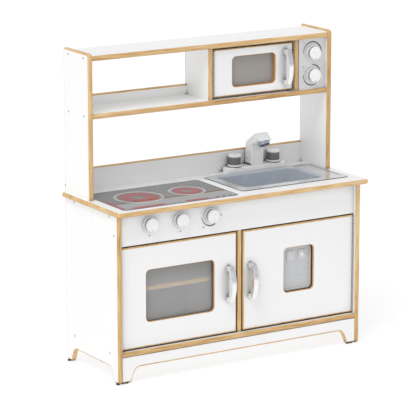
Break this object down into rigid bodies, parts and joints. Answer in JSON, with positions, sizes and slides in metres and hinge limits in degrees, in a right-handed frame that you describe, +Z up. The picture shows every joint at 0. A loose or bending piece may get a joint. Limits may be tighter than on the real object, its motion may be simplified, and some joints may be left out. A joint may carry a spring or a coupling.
{
  "type": "toy kitchen",
  "caption": "Free-standing toy kitchen with hinged oven, cupboard and microwave doors, hob, sink, tap, turning knobs and an open upper shelf.",
  "frame": {"origin": "centre of the bounding box at floor level", "axes": "+X to the right as seen from the front, +Y to the back, +Z up; the doors face -Y"},
  "size_m": [0.864, 0.336, 0.939],
  "materials": {
    "white_board": "white foil board with rounded light oak edges",
    "grey_hardboard": "matt grey hardboard",
    "steel": "zinc plated",
    "silver_plate": "satin silver foil",
    "glide": "matt dark glide",
    "beech": "plain beech",
    "catch_white": "moulded",
    "hinge_steel": "rolled steel strip",
    "smoked_pane": "smoked clear plastic",
    "dispenser_grey": "satin moulded",
    "tile_grey": "satin moulded",
    "hob_grey": "glossy",
    "hob_print": "printed film",
    "dark_print": "printed",
    "sink_grey": "glossy moulded",
    "tap_white": "moulded",
    "aerator_silver": "plated plastic",
    "tap_handle": "satin grey barrel under a white cap",
    "knob_silver": "satin silver barrel under a white cap",
    "handle_chrome": "plated plastic"
  },
  "bodies": {
    "cabinet": {"base_side_left": "white_board", "base_side_right": "white_board", "base_panel": "white_board", "kick_plate": "white_board", "centre_divider": "white_board", "worktop_rails": "white_board", "fascia": "white_board", "lower_back_panel": "grey_hardboard", "oven_shelf": "white_board", "shelf_pegs": "steel", "worktop": "white_board", "upper_side_left": "white_board", "upper_side_right": "white_board", "top_panel": "white_board", "middle_shelf": "white_board", "cubby_divider": "white_board", "control_divider": "white_board", "cubby_rail": "white_board", "backsplash": "white_board", "microwave_back": "grey_hardboard", "control_plate": "silver_plate", "foot_glides": "glide", "panel_screws": "steel", "joining_dowels": "beech", "magnet_catches": "catch_white", "hinge_frame_leaves": "hinge_steel", "hinge_pins": "hinge_steel", "hob_plate": "hob_grey", "hob_print": "hob_print", "dial_prints": "dark_print", "sink_basin": "sink_grey", "tap_base": "tap_white", "tap_spout": "tap_white", "tap_aerator": "aerator_silver"},
    "oven_door": {"oven_door": "white_board", "oven_window": "smoked_pane", "oven_handle": "handle_chrome", "oven_handle_screws": "steel", "oven_hinge_leaf": "hinge_steel", "oven_strike_plate": "steel"},
    "cupboard_door": {"cupboard_door": "white_board", "dispenser_panel": "dispenser_grey", "dispenser_tiles": "tile_grey", "cupboard_handle": "handle_chrome", "cupboard_handle_screws": "steel", "cupboard_hinge_leaf": "hinge_steel", "cupboard_strike_plate": "steel"},
    "microwave_door": {"microwave_door": "white_board", "microwave_window": "smoked_pane", "microwave_handle": "handle_chrome", "microwave_handle_screws": "steel", "microwave_hinge_leaf": "hinge_steel", "microwave_strike_plate": "steel"},
    "tap_handle_left": {"tap_handle_left": "tap_handle"},
    "tap_handle_right": {"tap_handle_right": "tap_handle"},
    "hob_knob_left": {"hob_knob_left": "knob_silver"},
    "hob_knob_middle": {"hob_knob_middle": "knob_silver"},
    "hob_knob_right": {"hob_knob_right": "knob_silver"},
    "control_knob_upper": {"control_knob_upper": "knob_silver"},
    "control_knob_lower": {"control_knob_lower": "knob_silver"}
  },
  "joints": [
    {"name": "oven_door_hinge", "type": "hinge", "parent": "cabinet", "child": "oven_door", "pos_m": [-0.40285, -0.1294, 0.248], "axis": [0, 0, -1], "range_deg": [0, 100]},
    {"name": "cupboard_door_hinge", "type": "hinge", "parent": "cabinet", "child": "cupboard_door", "pos_m": [0.40285, -0.1294, 0.248], "axis": [0, 0, 1], "range_deg": [0, 100]},
    {"name": "microwave_door_hinge", "type": "hinge", "parent": "cabinet", "child": "microwave_door", "pos_m": [0.00965, 0.0326, 0.8395], "axis": [0, 0, -1], "range_deg": [0, 170]},
    {"name": "tap_handle_left_turn", "type": "hinge", "parent": "cabinet", "child": "tap_handle_left", "pos_m": [0.147, 0.134, 0.529], "axis": [0, 0, 1], "continuous": true},
    {"name": "tap_handle_right_turn", "type": "hinge", "parent": "cabinet", "child": "tap_handle_right", "pos_m": [0.287, 0.134, 0.529], "axis": [0, 0, 1], "continuous": true},
    {"name": "hob_knob_left_turn", "type": "hinge", "parent": "cabinet", "child": "hob_knob_left", "pos_m": [-0.307, -0.127, 0.46], "axis": [0, -1, 0], "continuous": true},
    {"name": "hob_knob_middle_turn", "type": "hinge", "parent": "cabinet", "child": "hob_knob_middle", "pos_m": [-0.204, -0.127, 0.46], "axis": [0, -1, 0], "continuous": true},
    {"name": "hob_knob_right_turn", "type": "hinge", "parent": "cabinet", "child": "hob_knob_right", "pos_m": [-0.101, -0.127, 0.46], "axis": [0, -1, 0], "continuous": true},
    {"name": "control_knob_upper_turn", "type": "hinge", "parent": "cabinet", "child": "control_knob_upper", "pos_m": [0.35775, 0.032, 0.87375], "axis": [0, -1, 0], "continuous": true},
    {"name": "control_knob_lower_turn", "type": "hinge", "parent": "cabinet", "child": "control_knob_lower", "pos_m": [0.35775, 0.032, 0.80575], "axis": [0, -1, 0], "continuous": true}
  ]
}
